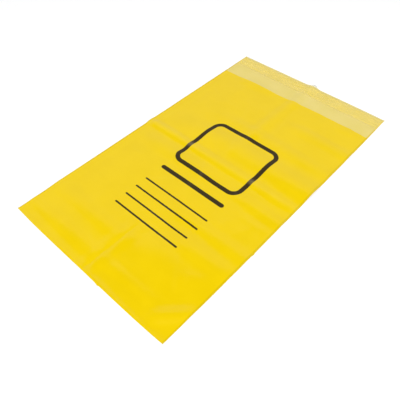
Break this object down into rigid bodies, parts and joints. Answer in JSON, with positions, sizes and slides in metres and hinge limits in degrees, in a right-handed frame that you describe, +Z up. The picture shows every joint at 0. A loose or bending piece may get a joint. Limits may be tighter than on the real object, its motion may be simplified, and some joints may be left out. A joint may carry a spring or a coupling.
{
  "type": "biohazard waste bag",
  "caption": "Flat, empty yellow film bag with welded sides, a folded bottom, an open mouth and a self-seal lip under a release liner.",
  "frame": {"origin": "middle of the bag's outline, on the surface it lies on", "axes": "+Y from the bottom fold to the lip, +X across the bag, +Z up out of the front wall"},
  "size_m": [0.2, 0.352, 0.0046],
  "materials": {
    "yellow_film": "smooth low-density polythene, slightly translucent, soft sheen",
    "adhesive": "pale pressure-sensitive adhesive",
    "liner_film": "clear, thin release film with fine wrinkles"
  },
  "bodies": {
    "root": {"bag_film": "yellow_film", "adhesive_strip": "adhesive", "release_liner": "liner_film"}
  },
  "joints": []
}
